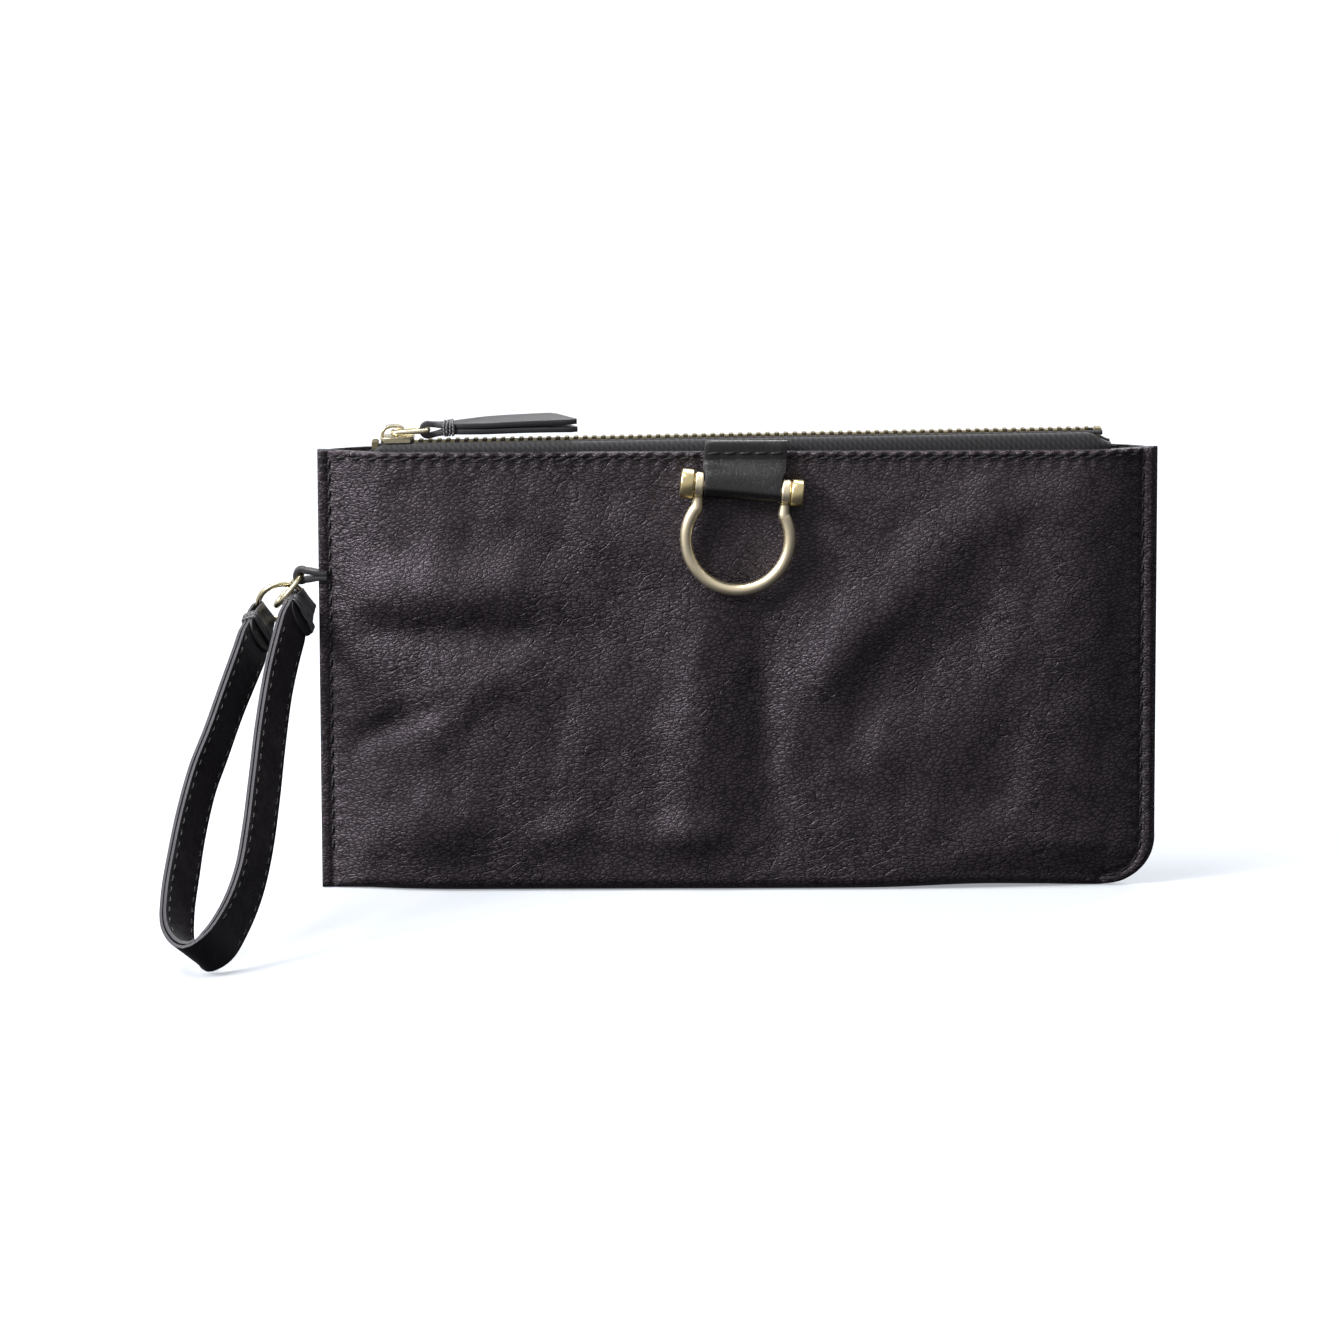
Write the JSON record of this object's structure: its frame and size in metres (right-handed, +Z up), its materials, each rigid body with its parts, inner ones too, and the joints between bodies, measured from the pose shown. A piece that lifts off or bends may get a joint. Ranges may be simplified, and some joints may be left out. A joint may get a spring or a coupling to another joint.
{
  "type": "wristlet wallet",
  "caption": "Flat zip-top leather pouch that stands on its base fold, with a brass shackle in a front loop, a zip slider with a leather pull, and a looped wrist strap on linked rings",
  "frame": {"origin": "centre of the flat strip on the base fold, on the surface the wallet stands on", "axes": "+X along the zip away from the strap side, -Y is the front with the shackle, +Z up"},
  "size_m": [0.2357, 0.1059, 0.1169],
  "materials": {
    "leather": "pebbled black leather, semi-matt",
    "smooth_leather": "smooth black leather, soft sheen",
    "strap_leather": "smooth black leather, glossier",
    "lining": "plain woven cotton lining",
    "zip_tape": "black woven twill zip tape",
    "thread": "black waxed sewing thread",
    "zip_brass": "antique brass, dulled",
    "slider_brass": "antique brass, satin",
    "shackle_brass": "antique brass, satin, rubbed bright on the bow",
    "ring_brass": "antique brass wire"
  },
  "bodies": {
    "pouch": {"outer_leather": "leather", "lining_front": "lining", "lining_back": "lining", "card_pocket_high": "lining", "card_pocket_middle": "lining", "card_pocket_low": "lining", "slip_pocket": "lining", "zip_tape_front": "zip_tape", "zip_tape_back": "zip_tape", "zip_teeth_front": "zip_brass", "zip_teeth_back": "zip_brass", "zip_top_stops": "zip_brass", "zip_bottom_stop": "zip_brass", "shackle_tab": "smooth_leather", "side_tab": "smooth_leather", "stitching_top_front": "thread", "stitching_top_back": "thread", "stitching_side_left": "thread", "stitching_side_right": "thread", "stitching_shackle_tab": "thread"},
    "slider": {"zip_slider": "slider_brass"},
    "pull_link": {"zip_pull_link": "slider_brass"},
    "pull_tab": {"zip_pull_tab": "smooth_leather", "zip_pull_wrap": "thread"},
    "shackle": {"shackle_bow": "shackle_brass", "shackle_pin": "shackle_brass", "shackle_pin_cap": "shackle_brass"},
    "side_ring": {"side_ring": "ring_brass"},
    "strap": {"strap_ring": "ring_brass", "strap_outer": "strap_leather", "strap_inner": "strap_leather", "strap_wrap_left": "thread", "strap_wrap_right": "thread", "stitching_strap": "thread"}
  },
  "joints": [
    {"name": "slider_slide", "type": "slide", "parent": "pouch", "child": "slider", "axis": [0.9999, 0, 0.0148], "range_m": [0, 0.163]},
    {"name": "pull_link_hinge", "type": "hinge", "parent": "slider", "child": "pull_link", "pos_m": [-0.08343, 0, 0.11206], "axis": [0, -1, 0], "range_deg": [0, 105]},
    {"name": "pull_tab_hinge", "type": "hinge", "parent": "pull_link", "child": "pull_tab", "pos_m": [-0.07505, 0, 0.11263], "axis": [0, -1, 0], "range_deg": [0, 70]},
    {"name": "shackle_hinge", "type": "hinge", "parent": "pouch", "child": "shackle", "pos_m": [0.0007, -0.0098, 0.0996], "axis": [-0.9957, 0, 0.0924], "range_deg": [0, 150]},
    {"name": "side_ring_hinge", "type": "hinge", "parent": "pouch", "child": "side_ring", "pos_m": [-0.106, 0, 0.0772], "axis": [0, 1, 0], "range_deg": [0, 60]},
    {"name": "strap_hinge", "type": "hinge", "parent": "side_ring", "child": "strap", "pos_m": [-0.11219, 0, 0.06982], "axis": [0, 1, 0], "range_deg": [0, 75]}
  ]
}
